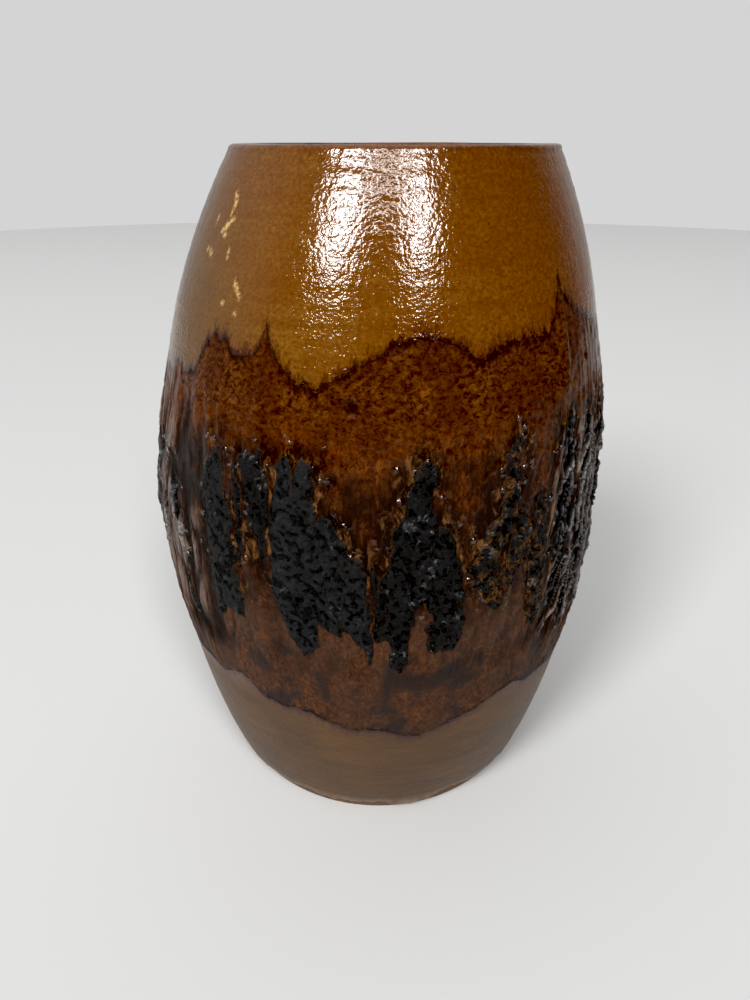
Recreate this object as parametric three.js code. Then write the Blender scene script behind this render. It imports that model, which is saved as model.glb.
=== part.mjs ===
// A wheel-thrown stoneware vase with an ovoid body, a flat-cut rim and four kinds of fired-on glaze.
// Millimetres and degrees, +Z up. The origin is the centre of the foot, on the table. The front is -Y.
// Azimuths are measured round +Z from the front, and grow towards +X.
import * as THREE from "three";

// ---- Driving dimensions ----
const HEIGHT = 180;
const RIM_RADIUS = 40.3;
const BELLY_RADIUS = 61.3;
const BELLY_HEIGHT = 82;
const FOOT_RADIUS = 46.2;
const SHOULDER_POWER = 2.55; // how late the wall turns in above the belly
const HIP_POWER = 2.25; // and below it
const RIM_WALL = 6.5; // glazed wall at the rim
const BASE_WALL = 9; // glazed wall at the floor
const RIM_ROUND = 1.2;
const FLOOR_HEIGHT = 9.5; // glazed floor inside
const FLOOR_FILLET = 13;
const LEAN = 3.8; // how far the rim stands off the foot's axis, towards +X
const LEAN_START = 90; // the lower half stands straight

const FOOT_BEVEL = 0.5; // across and up
const FOOT_RECESS_RADIUS = 34;
const FOOT_RECESS_DEPTH = 2.2;
const RECESS_SLOPE = 2; // the trimmed step into the recess
const GLAZE_LINE = 3.2; // the foot below this is bare clay

const COAT = 0.6; // ochre and liner glaze
const GAP = 0.25; // between one fired layer and the next
const LIP_DEPTH = 6; // how far the ochre coat runs down inside the rim
const BAND_EDGE = 0.3; // thickness of the iron glaze where it thins out
const BAND_BODY = 0.9; // and over the belly

const SEGMENTS = 40;
const WALL_STEPS = 9;
const ARC_STEPS = 2;
const BAND_ROWS = 9;
const RUN_ACROSS = 8;
const RUN_DOWN = 6;
const RUN_TAPER = 0.22; // a run is this much wider at its foot than at its middle

// The edges of the iron glaze, as [azimuth, share of the height]. It was poured, so they wander.
const BAND_TOP = [
  [-170, 0.77], [-150, 0.8], [-128, 0.755], [-108, 0.79], [-85, 0.74], [-62, 0.745],
  [-45, 0.785], [-30, 0.79], [-18, 0.745], [-5, 0.77], [8, 0.8], [20, 0.775],
  [34, 0.79], [47, 0.825], [70, 0.79], [92, 0.76], [112, 0.81], [135, 0.77], [155, 0.795],
];
const BAND_BOTTOM = [
  [-165, 0.25], [-140, 0.225], [-118, 0.265], [-92, 0.235], [-70, 0.255], [-48, 0.265],
  [-36, 0.28], [-24, 0.248], [-8, 0.232], [8, 0.215], [22, 0.245], [36, 0.265],
  [55, 0.24], [80, 0.225], [102, 0.26], [128, 0.235], [152, 0.265],
];

// The black glaze lies in separate thick runs: [azimuth, half width, foot, top, thickness], where
// foot and top are shares of the height.
const RUNS = [
  [-170, 4.6, 0.4, 0.63, 1.5],
  [-158, 4.2, 0.36, 0.6, 1.4],
  [-145, 5, 0.42, 0.65, 1.6],
  [-131, 4.4, 0.38, 0.62, 1.5],
  [-117, 5.2, 0.41, 0.64, 1.6],
  [-103, 4.4, 0.36, 0.61, 1.4],
  [-88, 4.8, 0.4, 0.63, 1.5],
  [-73, 4.4, 0.43, 0.62, 1.6],
  [-57, 3.4, 0.36, 0.62, 1],
  [-39, 5.6, 0.4, 0.65, 1.4],
  [-28, 3.4, 0.54, 0.645, 1.1],
  [-18.5, 4.7, 0.37, 0.65, 1.7],
  [-8.5, 4, 0.4, 0.58, 1.5],
  [5, 4.3, 0.38, 0.65, 1.4],
  [15, 3.9, 0.37, 0.52, 1.5],
  [23.5, 3.2, 0.44, 0.56, 1.1],
  [31, 2.9, 0.48, 0.66, 1],
  [38.5, 3, 0.37, 0.53, 1.3],
  [48, 4.6, 0.36, 0.67, 1.4],
  [58.5, 4, 0.35, 0.66, 1.5],
  [69, 4.4, 0.4, 0.65, 1.5],
  [83, 4.8, 0.37, 0.62, 1.4],
  [97, 4.6, 0.42, 0.65, 1.5],
  [111, 5, 0.38, 0.62, 1.6],
  [126, 4.6, 0.36, 0.6, 1.4],
  [140, 4.8, 0.41, 0.64, 1.5],
  [154, 4.2, 0.38, 0.61, 1.5],
  [171, 5, 0.39, 0.64, 1.4],
];

// ---- Shape of the pot ----

// Radius of the ochre glaze's outer face at height z.
function wallRadius(z) {
  if (z > BELLY_HEIGHT) {
    const up = (z - BELLY_HEIGHT) / (HEIGHT - BELLY_HEIGHT);
    return BELLY_RADIUS - (BELLY_RADIUS - RIM_RADIUS) * up ** SHOULDER_POWER;
  }
  const down = (BELLY_HEIGHT - z) / BELLY_HEIGHT;
  return BELLY_RADIUS - (BELLY_RADIUS - FOOT_RADIUS) * down ** HIP_POWER;
}

// Radius of the glazed inside at height z.
function insideRadius(z) {
  return wallRadius(z) - THREE.MathUtils.lerp(BASE_WALL, RIM_WALL, z / HEIGHT);
}

// Sideways shift of the leaning axis at height z.
function axisShift(z) {
  const up = THREE.MathUtils.clamp((z - LEAN_START) / (HEIGHT - LEAN_START), 0, 1);
  return LEAN * up ** 1.4;
}

// Points of a quarter circle about a centre, both ends included.
function quarter(centre, radius, fromAngle, steps) {
  const arc = new THREE.EllipseCurve(centre.x, centre.y, radius, radius, fromAngle, fromAngle + Math.PI / 2);
  return arc.getPoints(steps);
}

// The outer face of the outside coat, from the glaze line up to the rim's outer edge.
function outsidePath() {
  const top = HEIGHT - RIM_ROUND;
  return Array.from({ length: WALL_STEPS + 1 }, (_, i) => {
    const z = THREE.MathUtils.lerp(GLAZE_LINE, top, i / WALL_STEPS);
    return new THREE.Vector2(wallRadius(z), z);
  });
}

// Over the flat rim, with both its edges rounded.
function rimPath() {
  const z = HEIGHT - RIM_ROUND;
  const outer = new THREE.Vector2(wallRadius(z) - RIM_ROUND, z);
  const inner = new THREE.Vector2(insideRadius(z) + RIM_ROUND, z);
  return [
    ...quarter(outer, RIM_ROUND, 0, ARC_STEPS).slice(1),
    ...quarter(inner, RIM_ROUND, Math.PI / 2, ARC_STEPS),
  ];
}

// Down the inside from one height to another.
function insidePath(fromZ, toZ, steps) {
  return Array.from({ length: steps + 1 }, (_, i) => {
    const z = THREE.MathUtils.lerp(fromZ, toZ, i / steps);
    return new THREE.Vector2(insideRadius(z), z);
  });
}

// From the foot of the inside wall, round the fillet, to the middle of the floor.
function floorPath() {
  const z = FLOOR_HEIGHT + FLOOR_FILLET;
  const centre = new THREE.Vector2(insideRadius(z) - FLOOR_FILLET, z);
  const fillet = quarter(centre, FLOOR_FILLET, -Math.PI / 2, 2 * ARC_STEPS).reverse();
  return [...fillet.slice(1), new THREE.Vector2(0, FLOOR_HEIGHT)];
}

// A path moved sideways: positive distances go to its left, which is into the clay.
function offsetPath(path, distance) {
  return path.map((point, i) => {
    if (point.x === 0) return new THREE.Vector2(0, point.y - distance);
    const before = path[Math.max(i - 1, 0)];
    const after = path[Math.min(i + 1, path.length - 1)];
    const along = after.clone().sub(before).normalize();
    return new THREE.Vector2(point.x - along.y * distance, point.y + along.x * distance);
  });
}

// ---- Geometry ----

// A profile turned round +Z.
function turned(profile) {
  return new THREE.LatheGeometry(profile, SEGMENTS).rotateX(Math.PI / 2);
}

// Moves every vertex to where edit puts it.
function edited(geometry, edit) {
  const position = geometry.getAttribute("position");
  const point = new THREE.Vector3();
  for (let i = 0; i < position.count; i++) {
    edit(point.fromBufferAttribute(position, i));
    position.setXYZ(i, point.x, point.y, point.z);
  }
  return geometry;
}

// Puts a point at an azimuth, a height and a distance out from the ochre glaze.
function placeOnWall(point, azimuth, z, out) {
  const angle = THREE.MathUtils.degToRad(azimuth);
  const radius = wallRadius(z) + out;
  point.set(radius * Math.sin(angle), -radius * Math.cos(angle), z);
}

// The height of an edge at an azimuth, eased between its points all the way round.
function edgeHeight(edge, azimuth) {
  const next = edge.findIndex(([at]) => at > azimuth);
  const last = edge.length - 1;
  const [fromAt, fromShare] = next > 0 ? edge[next - 1] : edge[last];
  const [toAt, toShare] = next >= 0 ? edge[next] : edge[0];
  const span = THREE.MathUtils.euclideanModulo(toAt - fromAt, 360);
  const along = THREE.MathUtils.euclideanModulo(azimuth - fromAt, 360) / span;
  return HEIGHT * THREE.MathUtils.lerp(fromShare, toShare, THREE.MathUtils.smoothstep(along, 0, 1));
}

// How far the iron glaze's outer face stands off the ochre, at a share of the way up the band.
function bandOut(share) {
  const swell = Math.sqrt(Math.max(Math.sin(Math.PI * share), 0));
  return GAP + BAND_EDGE + (BAND_BODY - BAND_EDGE) * swell;
}

function clayGeometry() {
  const inset = COAT + GAP;
  const floorTop = FLOOR_HEIGHT + FLOOR_FILLET;
  const glazed = [
    ...outsidePath(),
    ...rimPath(),
    ...insidePath(HEIGHT - 2 * RIM_ROUND, floorTop, WALL_STEPS),
    ...floorPath(),
  ];
  const foot = wallRadius(0) - inset;
  return turned([
    new THREE.Vector2(0, FOOT_RECESS_DEPTH),
    new THREE.Vector2(FOOT_RECESS_RADIUS, FOOT_RECESS_DEPTH),
    new THREE.Vector2(FOOT_RECESS_RADIUS + RECESS_SLOPE, 0),
    new THREE.Vector2(foot - FOOT_BEVEL, 0),
    new THREE.Vector2(foot, FOOT_BEVEL),
    ...offsetPath(glazed, inset),
  ]);
}

// A coat of even thickness behind a path, closed on itself.
function coatGeometry(path) {
  return turned([...path, ...offsetPath(path, COAT).reverse(), path[0].clone()]);
}

function ochreGeometry() {
  const lip = insidePath(HEIGHT - 2 * RIM_ROUND, HEIGHT - LIP_DEPTH, 1);
  return coatGeometry([...outsidePath(), ...rimPath(), ...lip]);
}

function linerGeometry() {
  const floorTop = FLOOR_HEIGHT + FLOOR_FILLET;
  const wall = insidePath(HEIGHT - LIP_DEPTH - GAP, floorTop, WALL_STEPS);
  return coatGeometry([...wall, ...floorPath()]);
}

// A flat ring of BAND_ROWS rows, whose inner and outer faces are then laid on the wall between the
// band's two edges.
function bandGeometry() {
  const inner = 1;
  const outer = 2;
  const rows = Array.from({ length: BAND_ROWS }, (_, i) => (1 - Math.cos((Math.PI * i) / (BAND_ROWS - 1))) / 2);
  const profile = [
    ...rows.map((share) => new THREE.Vector2(outer, share)),
    ...rows.toReversed().map((share) => new THREE.Vector2(inner, share)),
    new THREE.Vector2(outer, 0),
  ];
  return edited(turned(profile), (point) => {
    const azimuth = THREE.MathUtils.radToDeg(Math.atan2(point.x, -point.y));
    const onOuter = Math.hypot(point.x, point.y) > (inner + outer) / 2;
    const share = point.z;
    const z = THREE.MathUtils.lerp(edgeHeight(BAND_BOTTOM, azimuth), edgeHeight(BAND_TOP, azimuth), share);
    placeOnWall(point, azimuth, z, onOuter ? bandOut(share) : GAP);
  });
}

// A drop-shaped dome: a sphere whose back half is pressed flat against the band.
function runGeometry(azimuth, halfWidth, foot, top, thickness) {
  const middle = (HEIGHT * (foot + top)) / 2;
  const halfHeight = (HEIGHT * (top - foot)) / 2;
  return edited(new THREE.SphereGeometry(1, RUN_ACROSS, RUN_DOWN).rotateX(Math.PI / 2), (point) => {
    const [across, front, up] = [point.x, Math.max(-point.y, 0), point.z];
    const turn = azimuth + halfWidth * across * (1 - RUN_TAPER * up);
    placeOnWall(point, turn, middle + halfHeight * up, 2 * GAP + BAND_BODY + thickness * front);
  });
}

// ---- Materials ----

const clay = new THREE.MeshStandardMaterial({ color: 0x8a6247, roughness: 0.9 });
const liner = new THREE.MeshStandardMaterial({ color: 0x4a2c14, roughness: 0.35 });
const ochre = new THREE.MeshStandardMaterial({ color: 0x8f5a12, roughness: 0.32 });
const iron = new THREE.MeshStandardMaterial({ color: 0x4a2410, roughness: 0.35 });
const black = new THREE.MeshStandardMaterial({ color: 0x16161a, roughness: 0.25 });

// ---- Assembly ----

const vase = new THREE.Group();

function add(name, geometry, material) {
  const leaning = edited(geometry, (point) => point.setX(point.x + axisShift(point.z)));
  const mesh = new THREE.Mesh(leaning, material);
  mesh.name = name;
  vase.add(mesh);
}

add("stoneware_body", clayGeometry(), clay);
add("liner_glaze", linerGeometry(), liner);
add("ochre_glaze", ochreGeometry(), ochre);
add("iron_glaze_band", bandGeometry(), iron);
RUNS.forEach((run, i) => {
  add(`black_glaze_run_${String(i + 1).padStart(2, "0")}`, runGeometry(...run), black);
});

export default vase;
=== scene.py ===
# A wheel-thrown stoneware vase: ochre glaze, a band of iron glaze poured round its belly, and thick black
# runs crusted on the band. Shapes are worked out in millimetres. An azimuth is in degrees round +Z from
# the front, which is -Y, and grows towards +X. A share is a height over the vase's height.

import math

import bpy
import numpy as np
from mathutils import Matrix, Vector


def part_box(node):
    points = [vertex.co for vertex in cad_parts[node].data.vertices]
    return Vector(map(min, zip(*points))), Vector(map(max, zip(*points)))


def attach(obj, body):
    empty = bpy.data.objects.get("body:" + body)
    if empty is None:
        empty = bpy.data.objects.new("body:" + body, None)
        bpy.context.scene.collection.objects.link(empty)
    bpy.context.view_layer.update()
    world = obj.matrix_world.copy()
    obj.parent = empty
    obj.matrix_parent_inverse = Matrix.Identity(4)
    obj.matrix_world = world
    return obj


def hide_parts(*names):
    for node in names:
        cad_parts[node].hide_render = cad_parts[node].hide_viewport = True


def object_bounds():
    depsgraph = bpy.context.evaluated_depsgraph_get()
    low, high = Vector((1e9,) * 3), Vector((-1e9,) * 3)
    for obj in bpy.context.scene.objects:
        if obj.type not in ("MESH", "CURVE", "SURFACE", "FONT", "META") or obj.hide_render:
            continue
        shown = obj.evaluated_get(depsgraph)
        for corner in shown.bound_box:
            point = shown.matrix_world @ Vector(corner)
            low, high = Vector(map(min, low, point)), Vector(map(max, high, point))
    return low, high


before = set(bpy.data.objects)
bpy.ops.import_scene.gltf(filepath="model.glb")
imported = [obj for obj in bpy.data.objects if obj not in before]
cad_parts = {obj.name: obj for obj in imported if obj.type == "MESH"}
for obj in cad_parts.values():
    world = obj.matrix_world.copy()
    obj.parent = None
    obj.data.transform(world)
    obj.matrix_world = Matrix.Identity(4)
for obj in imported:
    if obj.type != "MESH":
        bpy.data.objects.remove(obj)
cad_low, cad_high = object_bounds()

MM = 0.001
BODY = "root"

# ---- Driving dimensions ----

HEIGHT = (cad_high.z - cad_low.z) / MM
RIM_RADIUS = 0.2239 * HEIGHT
BELLY_RADIUS = 0.3406 * HEIGHT
BELLY_HEIGHT = 0.4556 * HEIGHT
FOOT_RADIUS = 0.2567 * HEIGHT
SHOULDER_POWER = 2.55
HIP_POWER = 2.25
RIM_WALL = 6.5
BASE_WALL = 9.0
FLOOR_HEIGHT = 9.5
FLOOR_FILLET = 13.0
LEAN = 0.0211 * HEIGHT  # how far the rim stands off the foot's axis, towards +X
LEAN_START = 0.5 * HEIGHT
LEAN_POWER = 1.4
RIM_FALL = 0.9  # how much lower the rim is at the back than at the front

RIM_ROUND = 1.3
LIP_DEPTH = 6.0  # how far the ochre coat runs down inside the rim
COAT = 0.85  # from the ochre glaze's face to the clay
LINER_KEY = 0.9  # the liner's back goes this much deeper, so that its long chords stay behind its face
GLAZE_LINE = 3.2  # the foot is bare clay below this
FOOT_BEVEL = 0.5
FOOT_RECESS_RADIUS = 34.0
FOOT_RECESS_DEPTH = 2.2
RECESS_ROUND = 1.2
THROWING_PITCH = 3.4  # from one throwing line to the next
FINE_PITCH = 1.55  # and of the finer lines between them
INSIDE_PITCH = 6.5  # of the rings inside
TURNING_PITCH = 2.3  # of the spiral that the turning tool left under the foot
BAND_EDGE = 0.04  # thickness of the iron glaze at its edges
BAND_HEM = 0.7  # how far its mesh goes on under the ochre's face beyond the edge that shows
BAND_BODY = 1.05  # and over the belly
BAND_SLOPE = 26  # how far in from its edges it reaches that thickness
BAND_DIVE = 0.14  # how far its edge dips under the ochre's face
BAND_BACK = 0.45  # how far its hidden back lies behind the wall's face

DEGREE = math.radians(1) * BELLY_RADIUS  # in mm, round the belly
AROUND = 720  # vertices round each turned piece
RUN_CELL = 0.33  # size of a mesh cell on a black run
LEAST_PATCH = 80  # a run's patches of fewer cells than this are dropped
RUN_MARGIN = 6.0  # how far its ragged edge can stray past its strokes
SINK = 0.75  # how deep under the iron glaze a run's edge goes

# ---- Where the glazes lie ----

# The edges of the iron glaze, as (azimuth, share).
BAND_TOP = [
    (-170, 0.77), (-150, 0.80), (-128, 0.755), (-108, 0.79), (-85, 0.74), (-66, 0.72), (-60, 0.745),
    (-55, 0.727), (-51, 0.735), (-48, 0.772), (-45, 0.785), (-40, 0.789), (-37, 0.77), (-31, 0.778),
    (-29.6, 0.79), (-28.5, 0.816), (-27.4, 0.79), (-25, 0.777), (-22, 0.752), (-15, 0.747), (-10, 0.757),
    (-6, 0.775), (-1, 0.784), (0.5, 0.8), (5, 0.803), (12, 0.8), (16, 0.791), (20, 0.773), (24, 0.78),
    (30, 0.79), (38, 0.789), (42, 0.8), (44.5, 0.825), (46, 0.856), (47.3, 0.83), (51, 0.812),
    (58, 0.797), (70, 0.79), (92, 0.76), (112, 0.81), (135, 0.77), (155, 0.795),
]
BAND_BOTTOM = [
    (-165, 0.25), (-140, 0.225), (-118, 0.265), (-92, 0.235), (-70, 0.255), (-52, 0.27), (-44, 0.262),
    (-40, 0.288), (-36, 0.28), (-32, 0.258), (-25, 0.252), (-19, 0.255), (-15, 0.247), (-11, 0.234),
    (-5, 0.229), (0, 0.234), (4, 0.222), (8, 0.21), (11, 0.218), (16, 0.224), (20, 0.238), (28, 0.25),
    (34, 0.268), (38, 0.27), (42, 0.254), (55, 0.245), (80, 0.225), (102, 0.26), (128, 0.235), (152, 0.265),
]

# The strokes that the black runs of the front are made of, by the number of the CAD node: each is
# (azimuth, share, half width in mm) at its head and the same at its tail.
RUN_STROKES = {
    8: [(-70, 0.62, 1.5, -71, 0.55, 3.8), (-71, 0.55, 3.6, -74, 0.44, 2.4),
        (-64.5, 0.53, 1.6, -63.5, 0.46, 1.2)],
    9: [(-61, 0.62, 1.2, -57, 0.55, 1.9), (-57, 0.55, 1.6, -53.5, 0.46, 1.2),
        (-53.5, 0.46, 1.1, -52, 0.375, 0.8)],
    10: [(-40, 0.645, 2.4, -40.5, 0.56, 4.6), (-40.5, 0.56, 4.6, -37.3, 0.45, 4.4),
         (-36, 0.58, 1.6, -35, 0.5, 2.4), (-38.8, 0.46, 2.2, -39.8, 0.402, 1.0),
         (-35, 0.47, 2.2, -33.7, 0.415, 0.9)],
    11: [(-29, 0.64, 3.2, -27.5, 0.57, 3.0), (-27.5, 0.57, 2.4, -26, 0.52, 1.0),
         (-33, 0.61, 1.2, -32, 0.53, 0.9)],
    12: [(-21.6, 0.65, 1.6, -21.3, 0.585, 3.3), (-16.4, 0.65, 1.8, -17, 0.585, 3.6),
         (-19.3, 0.575, 6.0, -18.6, 0.45, 5.4), (-18.5, 0.45, 5.0, -16.6, 0.392, 3.0),
         (-14, 0.52, 3.6, -12.5, 0.44, 1.8)],
    13: [(-13, 0.572, 3.0, -9, 0.505, 5.4), (-9, 0.52, 5.2, -5.3, 0.445, 4.0),
         (-5.5, 0.46, 3.4, -3, 0.385, 1.3), (-9.3, 0.47, 3.8, -9.7, 0.425, 1.3)],
    14: [(8, 0.65, 1.9, 7.4, 0.57, 4.4), (7.4, 0.57, 4.4, 5.4, 0.48, 5.8),
         (5.4, 0.49, 5.0, 3.4, 0.42, 2.9), (3.6, 0.43, 2.4, 4.4, 0.362, 1.1),
         (-0.6, 0.51, 1.6, 0.2, 0.415, 1.4)],
    15: [(15.2, 0.432, 4.4, 14.6, 0.398, 3.7), (12.8, 0.56, 2.2, 14.5, 0.465, 4.4)],
    16: [(25.5, 0.56, 2.8, 23, 0.50, 3.8), (23.3, 0.51, 2.8, 26.8, 0.44, 2.0)],
    17: [(29.5, 0.66, 1.8, 29, 0.58, 2.8), (29, 0.575, 2.8, 31.5, 0.535, 4.2),
         (31.5, 0.535, 3.8, 30.3, 0.475, 2.0)],
    18: [(36.6, 0.57, 2.0, 38, 0.46, 3.6), (38, 0.46, 3.2, 39.6, 0.38, 1.6)],
    19: [(46, 0.675, 2.0, 47.5, 0.53, 5.2), (47.5, 0.53, 4.6, 45.6, 0.41, 2.0),
         (51, 0.47, 2.4, 51.6, 0.345, 1.0)],
    20: [(56, 0.665, 2.0, 58, 0.52, 5.2), (58, 0.52, 4.8, 60, 0.37, 1.8), (55.3, 0.45, 1.8, 56, 0.385, 1.0)],
}
GOLD_RUNS = (16, 17, 18)  # these runs are half gold and brown
SLATE_RUNS = (10, 12, 13, 2, 5, 25)  # these are dull slate grey; the rest are nearly black

# Dull blue-grey patches low on the iron glaze, as strokes like the runs'.
DUSK_PATCHES = [
    (3, 0.365, 1.6, 1.5, 0.30, 1.0), (5, 0.335, 2.6, 12, 0.33, 2.6), (13, 0.335, 2.4, 18, 0.352, 2.2),
    (-14, 0.34, 1.2, -13, 0.30, 0.9), (24, 0.36, 1.0, 24.5, 0.345, 0.8), (148, 0.35, 3.0, 160, 0.34, 2.6),
    (-150, 0.36, 2.0, -146, 0.32, 2.6), (-172, 0.37, 1.4, -171, 0.33, 1.2),
]

# Pale nicks in the ochre glaze, as strokes like the runs'.
NICKS = [
    (-50, 0.946, 0.5, -48.1, 0.934, 0.4), (-48.6, 0.931, 0.3, -49, 0.923, 0.3),
    (-46.6, 0.919, 0.3, -49.3, 0.91, 0.6), (-49.3, 0.91, 0.5, -51.2, 0.902, 0.3),
    (-49.6, 0.901, 0.4, -48.8, 0.898, 0.3), (-55.5, 0.917, 0.2, -55.6, 0.91, 0.3),
    (-56.3, 0.879, 0.2, -53.3, 0.876, 0.3), (-45.5, 0.882, 0.3, -45.3, 0.876, 0.3),
    (-40.5, 0.85, 0.3, -39.1, 0.841, 0.4), (-39.1, 0.841, 0.3, -37.6, 0.832, 0.2),
    (-43.6, 0.824, 0.3, -43.2, 0.822, 0.3), (-38.7, 0.815, 0.3, -38.3, 0.813, 0.3),
]

# Burst bubbles in the iron glaze, as (azimuth, share, radius in mm, depth in mm).
CRATERS = [
    (-7, 0.722, 2.2, 0.3), (-10.5, 0.635, 2.0, 0.3), (-3.5, 0.715, 1.2, 0.2), (-17, 0.665, 1.3, 0.2),
    (-41, 0.7, 1.2, 0.25), (1, 0.787, 1.0, 0.2), (12, 0.66, 1.5, 0.2), (24, 0.715, 1.0, 0.2),
    (36, 0.69, 1.2, 0.2), (-2, 0.565, 1.6, 0.25), (13, 0.53, 1.4, 0.2),
]
CRATER_COPIES = 26  # the rest of the wall's, strewn at random


# ---- Numbers ----

def fade(low, high, value):
    """0 below low and 1 above high, with a smooth step between."""
    share = np.clip((value - low) / (high - low), 0, 1)
    return share * share * (3 - 2 * share)


def turn_between(azimuth, other):
    """The signed angle from other to azimuth, from -180 to 180."""
    return (azimuth - other + 180) % 360 - 180


def lattice_value(ix, iy, iz, seed):
    """A repeatable number from 0 to 1 for each point of a lattice."""
    mask = np.int64(0xFFFFFFFF)
    mixed = (ix * 374761393 + iy * 668265263 + iz * 1440662683 + seed * 1013904223) & mask
    mixed = ((mixed ^ (mixed >> 13)) * 1274126177) & mask
    mixed = ((mixed ^ (mixed >> 15)) * 1103515245) & mask
    return ((mixed ^ (mixed >> 16)) & 0xFFFF) / 65535.0


def noise(points, size, seed):
    """Smooth noise from -1 to 1, with features of about this size."""
    scaled = points / size
    cell = np.floor(scaled).astype(np.int64)
    part = scaled - cell
    ease = part * part * part * (part * (part * 6 - 15) + 10)
    total = np.zeros(points.shape[:-1])
    for corner in range(8):
        dx, dy, dz = corner & 1, (corner >> 1) & 1, (corner >> 2) & 1
        weight = (
            (ease[..., 0] if dx else 1 - ease[..., 0])
            * (ease[..., 1] if dy else 1 - ease[..., 1])
            * (ease[..., 2] if dz else 1 - ease[..., 2])
        )
        total += weight * lattice_value(cell[..., 0] + dx, cell[..., 1] + dy, cell[..., 2] + dz, seed)
    return total * 2 - 1


NOISE_LAYERS = 3


def layered_noise(points, size, seed):
    """Noise with finer and fainter noise on top."""
    total = np.zeros(points.shape[:-1])
    strength = 0.0
    for layer in range(NOISE_LAYERS):
        share = 0.5 ** layer
        total += share * noise(points, size * share, seed + 17 * layer)
        strength += share
    return total / strength


# ---- Shape of the pot ----

def wall_radius(z):
    up = np.clip((z - BELLY_HEIGHT) / (HEIGHT - BELLY_HEIGHT), 0, 1)
    down = np.clip((BELLY_HEIGHT - z) / BELLY_HEIGHT, 0, 1)
    shoulder = (BELLY_RADIUS - RIM_RADIUS) * up ** SHOULDER_POWER
    hip = (BELLY_RADIUS - FOOT_RADIUS) * down ** HIP_POWER
    return BELLY_RADIUS - shoulder - hip


def inside_radius(z):
    """Of the inside wall, which thins from the foot to the rim."""
    return wall_radius(z) - (BASE_WALL + (RIM_WALL - BASE_WALL) * z / HEIGHT)


def axis_shift(z):
    """How far the leaning upper half stands off the foot's axis."""
    up = np.clip((z - LEAN_START) / (HEIGHT - LEAN_START), 0, 1)
    return LEAN * up ** LEAN_POWER


def placed(azimuth, z, radius):
    """Points in mm on the leaning pot."""
    angle = np.radians(azimuth)
    x = axis_shift(z) + radius * np.sin(angle)
    y = -radius * np.cos(angle)
    behind = 0.5 + 0.5 * y / BELLY_RADIUS
    fall = RIM_FALL * behind * fade(0.8, 1, z / HEIGHT)
    return np.stack(np.broadcast_arrays(x, y, z - fall), -1)


def on_drum(azimuth, z, stretch=1.0):
    """Points on a plain drum, for noise that has no seam. A stretch over 1 draws its features out upwards."""
    angle = np.radians(azimuth)
    x = BELLY_RADIUS * np.cos(angle)
    y = BELLY_RADIUS * np.sin(angle)
    return np.stack(np.broadcast_arrays(x, y, z / stretch), -1)


def edge_share(edge, azimuth, soften):
    """The share at which a glaze's edge lies, all the way round, its corners softened over some degrees."""
    at = [a - 360 for a, _ in edge] + [a for a, _ in edge] + [a + 360 for a, _ in edge]
    share = [s for _, s in edge] * 3
    around = [np.interp(azimuth + soften * step, at, share) for step in (-1, -0.5, 0, 0.5, 1)]
    return sum(around) / len(around)


def band_edges(azimuth):
    """Heights in mm of the iron glaze's lower and upper edges, with the small feathers of the real ones."""
    level = np.zeros_like(azimuth)
    spots = on_drum(azimuth, level)
    feather = 0.7 * layered_noise(spots, 5.0, 11) + 0.6 * noise(spots, 1.9, 16)
    feather = feather + 1.5 * noise(spots, 1.2, 12) * fade(-0.7, 0.4, noise(spots, 9, 13))
    waver = 0.6 * layered_noise(spots, 4.0, 14) + 0.3 * noise(spots, 1.4, 15)
    lower = HEIGHT * edge_share(BAND_BOTTOM, azimuth, 2.5) + waver
    upper = HEIGHT * edge_share(BAND_TOP, azimuth, 0.4) + feather
    return lower, upper


# ---- Relief, in mm out from the wall ----

def swell(azimuth, z):
    """The slow unevenness of the thrown wall, which every coat follows."""
    return 0.35 * noise(on_drum(azimuth, z), 34, 21)


def ochre_relief(azimuth, z):
    """Throwing lines that climb as they go round, and the dimples of the glaze."""
    climb = z + azimuth / 360 * THROWING_PITCH
    rings = 0.06 * np.sin(2 * np.pi * climb / THROWING_PITCH) + 0.025 * np.sin(2 * np.pi * climb / FINE_PITCH)
    spots = on_drum(azimuth, z)
    near_ends = 0.35 + 0.65 * np.maximum(fade(0.9, 0.985, z / HEIGHT), fade(0.2, 0.05, z / HEIGHT))
    dimples = 0.03 * noise(spots, 1.5, 22) + 0.035 * noise(spots, 2.6, 23)
    gloss = 0.35 + 0.65 * fade(0.3, 0.7, z / HEIGHT)
    return swell(azimuth, z) + rings * near_ends + dimples * gloss


def side_strength(azimuth, z):
    """Where the iron glaze is drawn into ridges: at both sides, and a little over the front and back."""
    share = z / HEIGHT
    away = np.abs(turn_between(azimuth, 0))
    sides = 0.34 + 0.66 * fade(34, 50, away) * fade(122, 104, away)
    height = fade(0.3, 0.4, share) * fade(0.76, 0.62, share)
    skirt = (0.2 + 0.25 * fade(30, 60, away)) * fade(0.22, 0.27, share) * fade(0.42, 0.34, share)
    return sides * height + skirt


def bark_strength(azimuth, z):
    """The same, and more in one drawn patch between two runs."""
    patch = 0.5 * np.exp(-((turn_between(azimuth, -31) / 7) ** 2) - ((z / HEIGHT - 0.56) / 0.07) ** 2)
    return np.clip(side_strength(azimuth, z) + patch, 0, 1)


def creases(points, size, seed):
    """Thin wandering lines, 1 along their middle and 0 between them."""
    line = np.clip(1 - 2.4 * np.abs(noise(points, size, seed)), 0, 1)
    return line * line


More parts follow.
